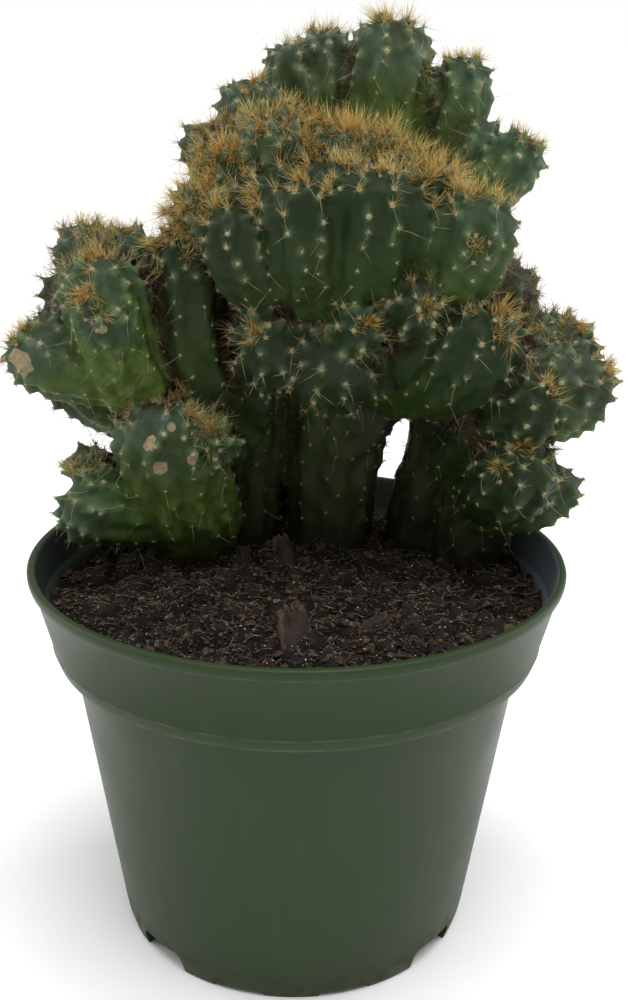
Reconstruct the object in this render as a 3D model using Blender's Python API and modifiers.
"""A potted crested Peruvian apple cactus, the lumpy monstrose form of a Cereus, at its real size.

Metres, +Z up. The origin is the middle of the pot's foot, on the surface that the pot stands on.
-Y is the front of the plant, and +X is its right-hand side seen from the front.
"""

import math
import random

import bmesh
import bpy
from mathutils import Matrix, Vector, noise
from mathutils.bvhtree import BVHTree

MM = 0.001
SEED = 20

# The pot: a thin six-inch azalea pot with a deep band under its rim
RIM_RADIUS = 76.5 * MM
RIM_HEIGHT = 114.0 * MM
LIP_DEPTH = 3.0 * MM
LIP_WIDTH = 1.3 * MM
BAND_DEPTH = 26.0 * MM
BAND_FOOT_RADIUS = 69.2 * MM
RING_LINE_HEIGHT = 4.0 * MM
WALL_TOP_RADIUS = 64.9 * MM
WALL_FOOT_RADIUS = 51.5 * MM
FOOT_RADIUS = 50.6 * MM
FOOT_HEIGHT = 3.0 * MM
FOOT_WIDTH = 4.0 * MM
WALL = 1.2 * MM
INNER_STEP_DEPTH = 10.0 * MM
INNER_STEP_WIDTH = 0.6 * MM
FLOOR_CORNER = 3.0 * MM
RING_LINE_PROUD = 0.5 * MM
TURN_STEPS = 48

# The notches under the pot: width in degrees, height, and the angles of their middles
DRAIN_WIDTH = 20.0
DRAIN_HEIGHT = 6.5 * MM
DRAIN_ANGLES = (45.0, 135.0, 223.0, 322.0)
RECESS_WIDTH = 17.0
RECESS_HEIGHT = 1.5 * MM
RECESS_ANGLES = tuple(90.0 * k + side for k in range(4) for side in (-17.0, 17.0))

# The soil, which fills the pot to a low mound
SOIL_EDGE_HEIGHT = 101.0 * MM
SOIL_MOUND = 5.5 * MM
SOIL_RELIEF = 2.4 * MM
SOIL_RINGS = 8
GAP = 0.3 * MM
HOLE_GAPS = (0.5 * MM, 0.15 * MM)
HOLE_CUT_HEIGHT = 112.0 * MM
SOIL_COARSE = 11.0 * MM
SOIL_FINE = 5.0 * MM
WELD = 0.04 * MM

# The heads of the plant, in whole millimetres: name, foot, tip, how far the middle bows out,
# radius, ribs, how many times wider than deep, and the foot's part of the radius
HEADS = (
    ("stem_left", (-34, 26, 92), (-34, 20, 160), (0, 4, 0), 13, 7, 1.0, 0.9),
    ("stem_left_inner", (-17, 33, 92), (-14, 26, 176), (0, 3, 0), 11, 7, 1.0, 0.8),
    ("stem_middle", (9, 34, 92), (12, 24, 178), (0, 3, 0), 15, 8, 1.0, 0.85),
    ("stem_middle_bud", (12, 28, 136), (24, 22, 160), (1, 0, -1), 9, 6, 1.0, 0.9),
    ("stem_right", (36, 38, 92), (51, 24, 170), (0, 3, 0), 13, 7, 1.0, 0.9),
    ("stem_far_right", (48, 24, 92), (60, 16, 152), (1, 2, 0), 12, 7, 1.0, 0.9),
    ("core_upper", (8, 34, 160), (8, 28, 224), (0, 2, 0), 19, 9, 1.3, 0.9),
    ("core_left", (-14, 26, 140), (-44, 20, 186), (-6, 0, -2), 13, 7, 1.0, 0.9),
    ("core_right", (20, 30, 164), (54, 20, 188), (4, 0, -2), 14, 7, 1.0, 0.9),
    ("right_core", (48, 24, 134), (62, 6, 164), (2, -2, -2), 15, 8, 1.0, 0.9),
    ("top_left_a", (2, 44, 222), (-3, 45, 253), (-2, 0, 0), 8, 7, 1.0, 0.9),
    ("top_left_b", (8, 46, 222), (6, 47, 257), (0, 0, 0), 8, 7, 1.0, 0.9),
    ("top_middle", (24, 40, 220), (25, 42, 260), (0, 0, 0), 12, 8, 1.0, 0.9),
    ("top_right", (38, 38, 212), (45, 41, 250), (2, 0, 0), 9, 7, 1.0, 0.9),
    ("top_right_bud", (44, 34, 212), (52, 38, 233), (1, 0, 0), 8, 6, 1.0, 0.9),
    ("shoulder_right", (42, 28, 206), (64, 32, 229), (2, 0, -2), 9, 7, 1.0, 0.9),
    ("shoulder_left", (-2, 32, 220), (-17, 37, 243), (-3, 0, -2), 10, 7, 1.0, 0.9),
    ("shoulder_left_bud", (-12, 28, 210), (-28, 28, 232), (-3, 0, -2), 8, 6, 1.0, 0.9),
    ("crest_knob", (-4, 20, 208), (-9, 19, 236), (0, 0, 0), 12, 8, 1.1, 0.9),
    ("crest_top", (12, 22, 200), (14, 15, 232), (0, -1, 0), 11, 11, 1.7, 0.9),
    ("crest_ridge_right", (22, 20, 200), (34, 5, 224), (2, -2, 0), 10, 8, 1.2, 0.9),
    ("crest_ridge_left", (-8, 20, 202), (-21, 15, 227), (-3, -1, -2), 9, 7, 1.1, 0.9),
    ("crest_ridge_low", (-12, 16, 194), (-28, 9, 218), (-3, -1, -2), 9, 7, 1.1, 0.9),
    ("crest_shield", (8, 18, 180), (6, 3, 224), (0, -5, -1), 13, 13, 2.0, 0.6),
    ("crest_lobe_a", (-6, 8, 184), (-18, -3, 212), (-3, -4, -2), 9, 7, 1.0, 0.8),
    ("crest_lobe_b", (4, 8, 182), (0, -7, 219), (0, -5, -2), 10, 7, 1.1, 0.8),
    ("crest_lobe_c", (16, 8, 182), (20, -4, 223), (0, -5, -2), 12, 9, 1.3, 0.8),
    ("crest_lobe_d", (34, 8, 182), (47, -3, 217), (2, -5, -2), 11, 8, 1.1, 0.8),
    ("column_left", (-26, 20, 150), (-32, 11, 205), (-1, -2, 0), 10, 7, 1.0, 1.0),
    ("belly_left", (4, 24, 172), (-9, -6, 178), (-2, -2, -3), 13, 8, 1.0, 1.0),
    ("belly_middle", (8, 26, 172), (10, -9, 176), (0, -2, -4), 16, 9, 1.1, 1.0),
    ("belly_bud_left", (-6, 4, 176), (-14, -8, 181), (0, 0, 0), 7, 6, 1.0, 0.9),
    ("belly_bud_middle", (12, 2, 178), (18, -13, 184), (0, 0, 0), 8, 6, 1.0, 0.9),
    ("belly_right", (24, 20, 166), (53, -6, 187), (3, -6, -6), 15, 9, 1.0, 1.0),
    ("belly_bud_right", (28, 6, 180), (33, -14, 190), (0, -2, 0), 8, 6, 1.0, 0.9),
    ("elbow_right", (44, 22, 176), (60, 18, 194), (3, 0, -3), 9, 7, 1.0, 0.9),
    ("left_back_a", (-50, 22, 168), (-62, 23, 204), (-2, 0, 0), 10, 7, 1.0, 0.9),
    ("left_back_b", (-42, 24, 166), (-51, 25, 203), (-1, 0, 0), 9, 7, 1.0, 0.9),
    ("left_back_low", (-50, 22, 164), (-68, 22, 191), (-2, 0, -2), 9, 6, 1.0, 0.9),
    ("left_front", (-46, 14, 158), (-55, 4, 198), (-2, -3, 0), 12, 8, 1.0, 0.9),
    ("left_front_bud", (-48, 6, 174), (-56, -4, 188), (0, -1, -1), 8, 6, 1.0, 0.9),
    ("left_arm", (-42, 18, 163), (-79, 11, 176), (-4, -2, -3), 12, 8, 1.0, 0.9),
    ("left_link", (-38, 20, 140), (-50, 10, 152), (-1, 0, -1), 9, 6, 1.0, 0.9),
    ("low_left", (-32, 22, 112), (-36, 2, 158), (-1, -6, 0), 13, 10, 1.25, 1.0),
    ("low_left_bud", (-28, 14, 136), (-24, -5, 152), (0, -2, 0), 8, 6, 1.0, 0.9),
    ("bottom_left", (-34, 20, 121), (-66, 4, 131), (-4, -5, -1), 12, 9, 1.0, 1.0),
    ("bottom_left_bud", (-52, 12, 128), (-64, 6, 141), (-1, 0, 0), 7, 6, 1.0, 0.9),
    ("right_top", (54, 22, 150), (75, 9, 181), (4, 0, -2), 13, 8, 1.0, 0.9),
    ("right_big", (54, 14, 155), (80, -2, 174), (3, -4, -4), 13, 9, 1.0, 0.9),
    ("right_front", (54, 12, 150), (65, -12, 169), (0, -4, -3), 10, 7, 1.0, 0.9),
    ("right_low_front", (54, 18, 130), (62, -12, 151), (1, -5, -5), 12, 8, 1.0, 0.9),
    ("right_low", (52, 20, 123), (77, 9, 138), (3, -2, -2), 11, 7, 1.0, 0.9),
    ("back_top", (14, 40, 206), (12, 54, 240), (0, 2, -2), 13, 8, 1.2, 0.9),
    ("back_crest_left", (-8, 40, 196), (-18, 55, 225), (-2, 3, -2), 12, 8, 1.2, 0.9),
    ("back_crest_right", (32, 38, 196), (38, 55, 223), (2, 3, -2), 12, 8, 1.2, 0.9),
    ("back_crest_bud", (22, 40, 202), (24, 61, 210), (0, 2, -1), 9, 7, 1.0, 0.9),
    ("back_belly", (12, 36, 168), (10, 59, 202), (0, 5, -6), 15, 9, 1.3, 0.9),
    ("back_bud_left", (-18, 36, 172), (-20, 60, 186), (-1, 2, -2), 10, 7, 1.0, 0.9),
    ("back_bud_right", (36, 34, 174), (40, 58, 188), (1, 2, -2), 10, 7, 1.0, 0.9),
    ("back_bud_middle", (16, 40, 142), (18, 58, 162), (0, 2, -2), 10, 7, 1.0, 0.9),
    ("back_column_left", (-24, 30, 150), (-34, 50, 202), (-2, 4, -2), 12, 8, 1.0, 0.9),
    ("back_left", (-40, 26, 154), (-61, 46, 184), (-3, 3, -3), 12, 8, 1.0, 0.9),
    ("back_left_arm", (-38, 24, 146), (-71, 34, 162), (-3, 2, -3), 11, 8, 1.0, 0.9),
    ("back_right", (50, 32, 156), (61, 47, 192), (3, 3, -3), 12, 8, 1.0, 0.9),
    ("back_right_arm", (54, 30, 142), (75, 38, 168), (4, 2, -4), 12, 8, 1.0, 0.9),
    ("back_low_left", (-34, 32, 116), (-48, 51, 146), (-2, 4, -3), 12, 8, 1.0, 0.9),
    ("back_low_middle", (-8, 40, 116), (-10, 57, 150), (-1, 4, -2), 12, 8, 1.0, 0.9),
    ("back_low_right", (46, 34, 116), (58, 52, 143), (2, 3, -2), 11, 7, 1.0, 0.9),
)

# How a head is shaped: the dome, the swelling and the ribs, as parts of its radius or length,
# and the lumps that run along each rib
DOME_SHARE = 0.95
SWELL_SHARE = 0.6
RIB_DEPTH = 0.19
RIB_DEPTH_AT_TIP = 0.6
RIB_BLUNTNESS = 0.7
VALLEY_SOFTNESS = 0.05
RIB_SWAY = 0.35
LUMP_HEIGHT = 0.8 * MM
LUMP_PITCH = 9.0 * MM
RELIEF = 0.8 * MM
RELIEF_SIZE = 13.0 * MM
DOME_RINGS = 5
BODY_RINGS = 8
BURIED_HEIGHT = 118.0 * MM
BURIED_FADE = 14.0 * MM

# The mesh of the fused body
BODY_VOXEL = 1.32 * MM
BODY_TRIANGLES = 7300

# Spines, which stand out of small cushions along the ribs
SPINE_RADIUS = 0.42 * MM
FLANK_SPINE = (5.0 * MM, 8.5 * MM)
CROWN_SPINE = (4.0 * MM, 6.0 * MM)
SPINE_ROOT = 1.5 * MM
SPINE_STEP = 4.5 * MM
SPINES_APART = 10.8 * MM
CROWN_SPINES = 4
CROWN_APART = 3.5 * MM
CROWN_DROP = 0.10
CROWN_LEAN = 1.3
SHOULDER_LEAN = 0.5
FLANK_LEAN = 0.15
SPINE_JITTER = 0.25
SPINE_OFF_SKIN = 1.5 * MM
SPINE_LEAST_SLOPE = 0.35
SPINE_CLEAR_HEIGHT = 122.0 * MM

# Chips of bark that stick in the soil: name, place, length and width in whole millimetres,
# turn and lean in degrees, and the part of the length that is sunk
CHIPS = (
    ("bark_chip_front", (1, -43), 15, 10, 108, 42, 0.25),
    ("bark_chip_middle", (-3, 7), 15, 7, 110, 52, 0.35),
    ("bark_chip_left", (-16, 8), 9, 5, 95, 66, 0.4),
    ("bark_chip_right", (19, -33), 13, 5, 36, 16, 0.35),
    ("bark_chip_back", (-14, 62), 12, 8, 60, 28, 0.5),
)
CHIP_THICKNESS = 1.6 * MM
CHIP_CURL = 1.5 * MM
CHIP_TAPER = 0.25


def clear_scene():
    """Start from an empty scene."""
    for item in list(bpy.data.objects):
        bpy.data.objects.remove(item, do_unlink=True)


def new_collection(name):
    """A collection of the scene."""
    made = bpy.data.collections.new(name)
    bpy.context.scene.collection.children.link(made)
    return made


def new_material(name, colour, roughness):
    """A plain Principled material."""
    material = bpy.data.materials.new(name)
    material.use_nodes = True
    shader = material.node_tree.nodes["Principled BSDF"]
    shader.inputs["Base Color"].default_value = (*colour, 1.0)
    shader.inputs["Roughness"].default_value = roughness
    shader.inputs["Metallic"].default_value = 0.0
    material.diffuse_color = (*colour, 1.0)
    return material


def add_object(name, mesh, collection, material=None):
    """One object of the given mesh."""
    made = bpy.data.objects.new(name, mesh)
    collection.objects.link(made)
    if material:
        mesh.materials.append(material)
    return made


def mesh_from(bm, name):
    """Turn a bmesh into a mesh with its faces pointing out."""
    bmesh.ops.recalc_face_normals(bm, faces=bm.faces)
    mesh = bpy.data.meshes.new(name)
    bm.to_mesh(mesh)
    bm.free()
    return mesh


def as_cutter(item):
    """Mark a helper solid, which is not a piece of the object."""
    item.hide_render = True
    item.display_type = "WIRE"
    return item


def apply_boolean(item, operation, collection, solver="EXACT"):
    """Join or cut an object with a collection's objects, and remove those."""
    modifier = item.modifiers.new(operation.title(), "BOOLEAN")
    modifier.operation = operation
    modifier.operand_type = "COLLECTION"
    modifier.collection = collection
    modifier.solver = solver
    bpy.context.view_layer.update()
    graph = bpy.context.evaluated_depsgraph_get()
    joined = bpy.data.meshes.new_from_object(item.evaluated_get(graph))
    item.modifiers.clear()
    item.data = joined
    for used in list(collection.objects):
        bpy.data.objects.remove(used, do_unlink=True)
    bpy.data.collections.remove(collection)


def shade(item, angle=35.0):
    """Smooth shading that keeps the sharp edges."""
    item.data.shade_smooth()
    item.data.set_sharp_from_angle(angle=math.radians(angle))


def weld(mesh):
    """Merge points that all but touch, and leave only triangles."""
    bm = bmesh.new()
    bm.from_mesh(mesh)
    bmesh.ops.remove_doubles(bm, verts=bm.verts, dist=WELD)
    bmesh.ops.triangulate(bm, faces=bm.faces)
    bm.to_mesh(mesh)
    bm.free()


def turned(name, profile, collection, material):
    """A turned solid: the profile, in radius and height, spun about the Z axis."""
    mesh = bpy.data.meshes.new(name)
    points = [(radius, 0.0, height) for radius, height in profile]
    mesh.from_pydata(points, [(i, i + 1) for i in range(len(points) - 1)], [])
    made = add_object(name, mesh, collection, material)
    screw = made.modifiers.new("Turn", "SCREW")
    screw.axis = "Z"
    screw.steps = TURN_STEPS
    screw.render_steps = TURN_STEPS
    screw.use_merge_vertices = True
    screw.merge_threshold = 0.00001
    return made


def wall_radius(height):
    """The outer radius of the pot's tapered wall."""
    top = RIM_HEIGHT - BAND_DEPTH
    return WALL_FOOT_RADIUS + (WALL_TOP_RADIUS - WALL_FOOT_RADIUS) * height / top


def band_radius(height):
    """The outer radius of the band under the rim."""
    low = RIM_HEIGHT - BAND_DEPTH
    share = (height - low) / (RIM_HEIGHT - LIP_DEPTH - low)
    return BAND_FOOT_RADIUS + (RIM_RADIUS - LIP_WIDTH - BAND_FOOT_RADIUS) * share


def pot_inner_profile():
    """The inside of the pot from the middle of its floor up to the rim, as radius and height."""
    floor = FOOT_HEIGHT + WALL
    shelf = RIM_HEIGHT - BAND_DEPTH + WALL
    step = RIM_HEIGHT - INNER_STEP_DEPTH
    return [
        (0.0, floor),
        (wall_radius(floor) - WALL - FLOOR_CORNER, floor),
        (wall_radius(floor + FLOOR_CORNER) - WALL, floor + FLOOR_CORNER),
        (wall_radius(shelf) - WALL, shelf),
        (band_radius(shelf) - WALL - INNER_STEP_WIDTH, shelf + 0.5 * MM),
        (band_radius(step) - WALL - INNER_STEP_WIDTH, step - INNER_STEP_WIDTH),
        (band_radius(step) - WALL, step),
        (band_radius(RIM_HEIGHT - LIP_DEPTH) - WALL, RIM_HEIGHT - 0.8 * MM),
    ]


def make_pot(collection, material):
    """The pot: inside, rim, lip, band, wall, rounded foot and raised underside."""
    band_low = RIM_HEIGHT - BAND_DEPTH
    lip_low = RIM_HEIGHT - LIP_DEPTH
    ring = band_low + RING_LINE_HEIGHT
    outside = [
        (RIM_RADIUS - LIP_WIDTH - 0.4 * MM, RIM_HEIGHT),
        (RIM_RADIUS - 0.6 * MM, RIM_HEIGHT),
        (RIM_RADIUS, RIM_HEIGHT - 0.7 * MM),
        (RIM_RADIUS - 0.2 * MM, lip_low + 0.3 * MM),
        (band_radius(lip_low), lip_low - 0.3 * MM),
        (band_radius(ring + RING_LINE_PROUD), ring + RING_LINE_PROUD),
        (band_radius(ring) + RING_LINE_PROUD, ring),
        (BAND_FOOT_RADIUS + 0.4 * MM, band_low + 0.8 * MM),
        (BAND_FOOT_RADIUS - 0.6 * MM, band_low),
        (wall_radius(band_low) + 0.8 * MM, band_low - 0.4 * MM),
        (wall_radius(band_low - 1.5 * MM), band_low - 1.5 * MM),
        (wall_radius(6.0 * MM), 6.0 * MM),
        (wall_radius(2.5 * MM) - 0.3 * MM, 2.5 * MM),
        (FOOT_RADIUS + 0.5 * MM, 0.6 * MM),
        (FOOT_RADIUS, 0.0),
        (FOOT_RADIUS - FOOT_WIDTH, 0.0),
        (FOOT_RADIUS - FOOT_WIDTH - 0.4 * MM, FOOT_HEIGHT),
        (0.0, FOOT_HEIGHT),
    ]
    pot = turned("pot", pot_inner_profile() + outside, collection, material)
    notches = new_collection("pot_notches")
    for angles, width, height in (
        (DRAIN_ANGLES, DRAIN_WIDTH, DRAIN_HEIGHT),
        (RECESS_ANGLES, RECESS_WIDTH, RECESS_HEIGHT),
    ):
        for angle in angles:
            add_notch(notches, angle, width, height)
    apply_boolean(pot, "DIFFERENCE", notches)
    shade(pot)
    return pot


def add_notch(collection, angle, width, height):
    """A box that cuts one notch into the foot, with its top edges rounded."""
    reach = 16.0 * MM
    across = 2.0 * FOOT_RADIUS * math.sin(math.radians(width / 2.0))
    bm = bmesh.new()
    bmesh.ops.create_cube(bm, size=1.0)
    bmesh.ops.scale(bm, vec=(reach, across, 2.0 * height), verts=bm.verts)
    long_edges = [e for e in bm.edges if abs(e.verts[0].co.x - e.verts[1].co.x) > reach / 2.0]
    upper = [e for e in long_edges if e.verts[0].co.z > 0.0]
    bmesh.ops.bevel(bm, geom=upper, offset=0.45 * height, segments=2, affect="EDGES", profile=0.5)
    out = FOOT_RADIUS - FOOT_WIDTH - 2.0 * MM + reach / 2.0
    bmesh.ops.translate(bm, vec=(out, 0.0, 0.0), verts=bm.verts)
    bmesh.ops.rotate(bm, matrix=Matrix.Rotation(math.radians(angle), 3, "Z"), verts=bm.verts)
    as_cutter(add_object("notch", mesh_from(bm, "notch"), collection))


def smooth_step(value):
    """0 below 0, 1 above 1, and an even curve between."""
    value = min(1.0, max(0.0, value))
    return value * value * (3.0 - 2.0 * value)


class Head:
    """One head of the plant: a ribbed, domed stem along a curve from its foot to its tip."""

    def __init__(self, row, number):
        foot, tip, bow, radius, ribs, widening, foot_share = row[1:]
        self.number = number
        self.foot = Vector(foot) * MM
        self.tip = Vector(tip) * MM
        self.middle = (self.foot + self.tip) / 2.0 + 2.0 * Vector(bow) * MM
        self.radius = radius * MM
        self.ribs = ribs
        self.widening = widening
        self.foot_share = foot_share
        self.length = (self.tip - self.middle).length / 2.0 + (self.middle - self.foot).length / 2.0
        self.length = max(self.length, (self.tip - self.foot).length)
        self.turn = math.tau * (0.381966 * number % 1.0)
        chord = (self.tip - self.foot).normalized()
        self.across = Vector((1, 0, 0)) if abs(chord.x) < 0.75 else Vector((0, 1, 0))

    def axis(self, share):
        """The point on the middle line, from 0 at the foot to 1 at the tip."""
        rest = 1.0 - share
        return rest * rest * self.foot + 2.0 * rest * share * self.middle + share * share * self.tip

    def frame(self, share):
        """The direction of growth there, and the two directions across it."""
        along = (2.0 * (1.0 - share) * (self.middle - self.foot)
                 + 2.0 * share * (self.tip - self.middle)).normalized()
        side = (self.across - along * self.across.dot(along)).normalized()
        return along, side, along.cross(side)

    def thickness(self, share):
        """The plain radius, before ribs, at a share of the length."""
        body = self.foot_share + (1.0 - self.foot_share) * smooth_step(share / SWELL_SHARE)
        dome = DOME_SHARE * self.radius
        down = (1.0 - share) * self.length / dome
        if down < 1.0:
            body *= math.sqrt(max(0.0, 1.0 - (1.0 - down) ** 2))
        return self.radius * body

    def surface(self, share, angle):
        """The point on the ribbed skin at a share of the length and an angle round it."""
        along, side, other = self.frame(share)
        centre = self.axis(share)
        plain = self.thickness(share)
        turn = angle * self.ribs / 2.0
        crest = (math.cos(turn) ** 2 + VALLEY_SOFTNESS) / (1.0 + VALLEY_SOFTNESS)
        crest = crest ** (RIB_BLUNTNESS / 2.0)
        rib_number = round(turn / math.pi)
        near_tip = smooth_step((1.0 - share) * self.length / self.radius)
        depth = RIB_DEPTH * (RIB_DEPTH_AT_TIP + (1.0 - RIB_DEPTH_AT_TIP) * near_tip)
        if centre.z < BURIED_HEIGHT:
            depth *= smooth_step(1.0 - (BURIED_HEIGHT - centre.z) / BURIED_FADE)
        down = (1.0 - share) * self.length
        wave = math.cos(math.tau * down / LUMP_PITCH + math.pi * rib_number)
        lump = LUMP_HEIGHT * crest * wave * near_tip if centre.z > BURIED_HEIGHT else 0.0
        out = plain * (1.0 - depth * (1.0 - crest)) + lump
        place = centre / RELIEF_SIZE + Vector((math.cos(angle), math.sin(angle), self.number * 3.7))
        out += RELIEF * noise.noise(place) * near_tip
        sway = noise.noise(place * 1.3 + Vector((5.0, 5.0, 5.0)))
        turned = angle + self.turn + RIB_SWAY * sway * near_tip * math.tau / self.ribs
        spread = side * math.cos(turned) * self.widening + other * math.sin(turned)
        return centre + spread * out

    def stations(self, dome_rings, body_rings):
        """The rings from the tip to the foot, as shares of the length."""
        dome = DOME_SHARE * self.radius / self.length
        shares = []
        for i in range(dome_rings):
            polar = (i + 0.9) / (dome_rings + 0.4) * math.pi / 2.0
            shares.append(1.0 - dome * (1.0 - math.cos(polar)))
        low = 1.0 - dome
        for i in range(body_rings):
            shares.append(low * (1.0 - i / (body_rings - 1.0)))
        return shares

    def add_to(self, bm):
        """Add the head to a bmesh, as a sphere drawn out along the head's middle line."""
        shares = self.stations(DOME_RINGS, BODY_RINGS)
        last = len(shares) + 1
        made = bmesh.ops.create_uvsphere(bm, u_segments=4 * self.ribs, v_segments=last, radius=1.0)
        for vert in made["verts"]:
            ring = round(math.acos(max(-1.0, min(1.0, vert.co.z))) / math.pi * last)
            if ring == 0:
                vert.co = self.tip
            elif ring == last:
                vert.co = self.foot
            else:
                angle = math.atan2(vert.co.y, vert.co.x) - math.pi / 2.0
                vert.co = self.surface(shares[ring - 1], angle)


def keep_largest(mesh):
    """Keep a mesh's largest body, so that sealed hollows are filled and loose scraps are gone."""
    bm = bmesh.new()
    bm.from_mesh(mesh)
    left = set(bm.verts)
    bodies = []
    while left:
        body, front = set(), [next(iter(left))]
        while front:
            vert = front.pop()
            if vert in body:
                continue
            body.add(vert)
            front.extend(edge.other_vert(vert) for edge in vert.link_edges)
        left -= body
        bodies.append(body)
    bodies.sort(key=len)
    bmesh.ops.delete(bm, geom=[v for body in bodies[:-1] for v in body], context="VERTS")
    bmesh.ops.triangulate(bm, faces=bm.faces)
    bm.to_mesh(mesh)
    bm.free()


def make_body(heads, collection, material):
    """All the heads grown together in one skin, with the most faces where it is most curved."""
    bm = bmesh.new()
    for head in heads:
        head.add_to(bm)
    body = add_object("cactus", mesh_from(bm, "cactus"), collection, material)
    skin = body.modifiers.new("Skin", "REMESH")
    skin.mode = "VOXEL"
    skin.voxel_size = BODY_VOXEL
    bpy.context.view_layer.update()
    graph = bpy.context.evaluated_depsgraph_get()
    faces = len(body.evaluated_get(graph).data.polygons)
    fewer = body.modifiers.new("Fewer faces", "DECIMATE")
    fewer.ratio = BODY_TRIANGLES / (2.0 * faces)
    bpy.context.view_layer.update()
    mesh = bpy.data.meshes.new_from_object(body.evaluated_get(graph))
    body.modifiers.clear()
    body.data = mesh
    keep_largest(mesh)
    return body


def spine_roots(heads):
    """Where spines could stand: point, direction, distance apart and lengths, the crowns first."""
    crowns, flanks = [], []
    for head in heads:
        along = head.frame(1.0)[0]
        for i in range(CROWN_SPINES):
            angle = math.tau * (i + 0.5 * (head.number % 2)) / CROWN_SPINES
            share = 1.0 - CROWN_DROP * head.radius / head.length
            point = head.surface(share, angle)
            out = (point - head.axis(share)).normalized()
            crowns.append((point, (along * CROWN_LEAN + out).normalized(), CROWN_APART, CROWN_SPINE))
        for rib in range(head.ribs):
            down = (0.8 + 0.5 * (rib % 2)) * SPINE_STEP
            while down < head.length:
                share = 1.0 - down / head.length
                point = head.surface(share, math.tau * rib / head.ribs)
                out = (point - head.axis(share)).normalized()
                lean = SHOULDER_LEAN if down < head.radius else FLANK_LEAN
                flanks.append((point, (out + along * lean).normalized(), SPINES_APART, FLANK_SPINE))
                down += SPINE_STEP
    return crowns + flanks


def make_spines(body, heads):
    """Fuse the spines to the body: three-sided needles with their roots sunk well in."""
    draw = random.Random(SEED)
    skin = BVHTree.FromObject(body, bpy.context.evaluated_depsgraph_get())
    needles = new_collection("needles")
    taken = []
    for point, direction, apart, lengths in spine_roots(heads):
        jitter = Vector([draw.uniform(-SPINE_JITTER, SPINE_JITTER) for axis in range(3)])
        direction = (direction + jitter).normalized()
        length = draw.uniform(*lengths)
        root, normal, face, distance = skin.find_nearest(point)
        end = root + direction * length
        if distance > SPINE_OFF_SKIN or normal.dot(direction) < SPINE_LEAST_SLOPE:
            continue
        if min(root.z, end.z) < SPINE_CLEAR_HEIGHT:
            continue
        if skin.ray_cast(root + normal * 0.2 * MM, direction, length + 1.0 * MM)[0]:
            continue
        if any((root - other).length < apart for other in taken):
            continue
        taken.append(root)
        bm = bmesh.new()
        bmesh.ops.create_cone(
            bm, cap_ends=True, segments=3, radius1=SPINE_RADIUS, radius2=0.0, depth=length + SPINE_ROOT
        )
        bmesh.ops.translate(bm, vec=(0, 0, (length - SPINE_ROOT) / 2.0), verts=bm.verts)
        turn = direction.to_track_quat("Z", "Y").to_matrix().to_4x4()
        bmesh.ops.transform(bm, matrix=Matrix.Translation(root) @ turn, verts=bm.verts)
        as_cutter(add_object("needle", mesh_from(bm, "needle"), needles))
    apply_boolean(body, "UNION", needles, "MANIFOLD")
    print("spines", len(taken))


def add_stem_hole(body, grow, collection):
    """A cutter for the soil: the feet of the stems, grown by a gap that the soil keeps to them."""
    bm = bmesh.new()
    bm.from_mesh(body.data)
    bmesh.ops.bisect_plane(
        bm, geom=bm.verts[:] + bm.edges[:] + bm.faces[:], dist=0.00001,
        plane_co=(0.0, 0.0, HOLE_CUT_HEIGHT), plane_no=(0.0, 0.0, 1.0), clear_outer=True,
    )
    bmesh.ops.holes_fill(bm, edges=[e for e in bm.edges if e.is_boundary], sides=0)
    bmesh.ops.triangulate(bm, faces=bm.faces)
    bm.normal_update()
    moves = [vert.normal * grow for vert in bm.verts]
    for vert, move in zip(bm.verts, moves):
        vert.co += move
    as_cutter(add_object("stem_hole", mesh_from(bm, "stem_hole"), collection))


def chip_mesh(row, proud=0.0):
    """A curled chip of bark, a little broader at one end."""
    name, place, length, width, turn, lean, sunk = row
    bm = bmesh.new()
    bmesh.ops.create_cube(bm, size=1.0)
    bmesh.ops.subdivide_edges(
        bm, edges=[e for e in bm.edges if abs(e.verts[0].co.y - e.verts[1].co.y) > 0.5], cuts=2
    )
    long, wide = length * MM + 2.0 * proud, width * MM + 2.0 * proud
    for vert in bm.verts:
        x, y, z = vert.co
        taper = 1.0 - CHIP_TAPER * (x + 0.5)
        vert.co = Vector((x * long, y * wide * taper, z * (CHIP_THICKNESS + 2.0 * proud)))
        vert.co.z -= CHIP_CURL * (2.0 * y) ** 2
    matrix = Matrix.Rotation(math.radians(turn), 4, "Z") @ Matrix.Rotation(math.radians(-lean), 4, "Y")
    bmesh.ops.transform(bm, matrix=matrix, verts=bm.verts)
    height = soil_height(place[0] * MM, place[1] * MM)
    rise = (0.5 - sunk) * length * MM * math.sin(math.radians(lean)) + 0.6 * MM
    spot = Vector((place[0] * MM, place[1] * MM, height + rise))
    bmesh.ops.translate(bm, vec=spot, verts=bm.verts)
    return mesh_from(bm, name)


def soil_height(x, y):
    """The height of the soil's surface: a low mound with a rough, crumbly relief."""
    share = min(1.0, math.hypot(x, y) / (RIM_RADIUS - 4.0 * MM))
    mound = SOIL_MOUND * (1.0 - share * share)
    coarse = noise.noise(Vector((x, y, 0.31)) / SOIL_COARSE)
    fine = noise.noise(Vector((x, y, 0.72)) / SOIL_FINE)
    return SOIL_EDGE_HEIGHT + mound + SOIL_RELIEF * (coarse + 0.5 * fine) * (1.0 - 0.6 * share**6)


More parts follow.
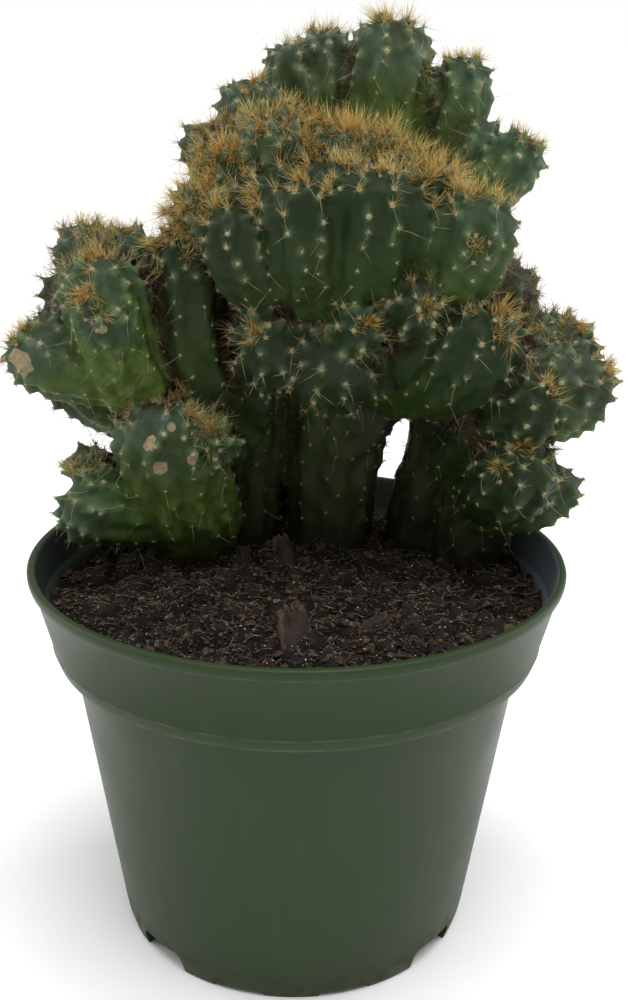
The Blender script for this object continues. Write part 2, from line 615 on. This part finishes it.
def make_soil(body, collection, material):
    """The soil: a plug that fills the pot, with a hole for each stem and bark chip."""
    inner = pot_inner_profile()
    top = SOIL_EDGE_HEIGHT
    side = [(radius - GAP, height) for radius, height in inner[1:] if height < top]
    side[0] = (side[0][0], side[0][1] + GAP)
    side = side[:2] + [(side[2][0], side[2][1] + GAP), (side[3][0], side[3][1] + GAP)]
    edge = band_radius(top) - WALL - INNER_STEP_WIDTH - GAP
    rings = [(edge * (i / SOIL_RINGS) ** 0.9, top) for i in range(SOIL_RINGS + 1)]
    profile = rings + list(reversed(side)) + [(0.0, side[0][1])]
    soil = turned("soil", profile, collection, material)
    graph = bpy.context.evaluated_depsgraph_get()
    mesh = bpy.data.meshes.new_from_object(soil.evaluated_get(graph))
    soil.modifiers.clear()
    soil.data = mesh
    for vert in mesh.vertices:
        if vert.co.z > top - 0.1 * MM:
            vert.co.z = soil_height(vert.co.x, vert.co.y)
    holes = new_collection("soil_holes")
    # The narrow cutter clears the sharp folds between two feet, where the wide one crosses itself
    for grow in HOLE_GAPS:
        add_stem_hole(body, grow, holes)
    for row in CHIPS:
        as_cutter(add_object(row[0], chip_mesh(row, GAP), holes))
    apply_boolean(soil, "DIFFERENCE", holes, "MANIFOLD")
    weld(soil.data)
    shade(soil, 50.0)
    return soil


def make_chips(collection, material):
    """The chips of bark."""
    for row in CHIPS:
        add_object(row[0], chip_mesh(row), collection, material)


def main():
    clear_scene()
    parts = new_collection("potted_crested_cactus")
    green_plastic = new_material("green_plastic", (0.045, 0.070, 0.038), 0.45)
    potting_mix = new_material("potting_mix", (0.028, 0.021, 0.015), 0.95)
    cactus_skin = new_material("cactus_skin", (0.040, 0.075, 0.030), 0.55)
    bark = new_material("bark", (0.060, 0.038, 0.025), 0.90)
    heads = [Head(row, number) for number, row in enumerate(HEADS)]
    make_pot(parts, green_plastic)
    cactus = make_body(heads, parts, cactus_skin)
    make_soil(cactus, parts, potting_mix)
    make_chips(parts, bark)
    make_spines(cactus, heads)
    shade(cactus, 40.0)
    for item in parts.objects:
        print(item.name, sum(len(face.vertices) - 2 for face in item.data.polygons))


main()
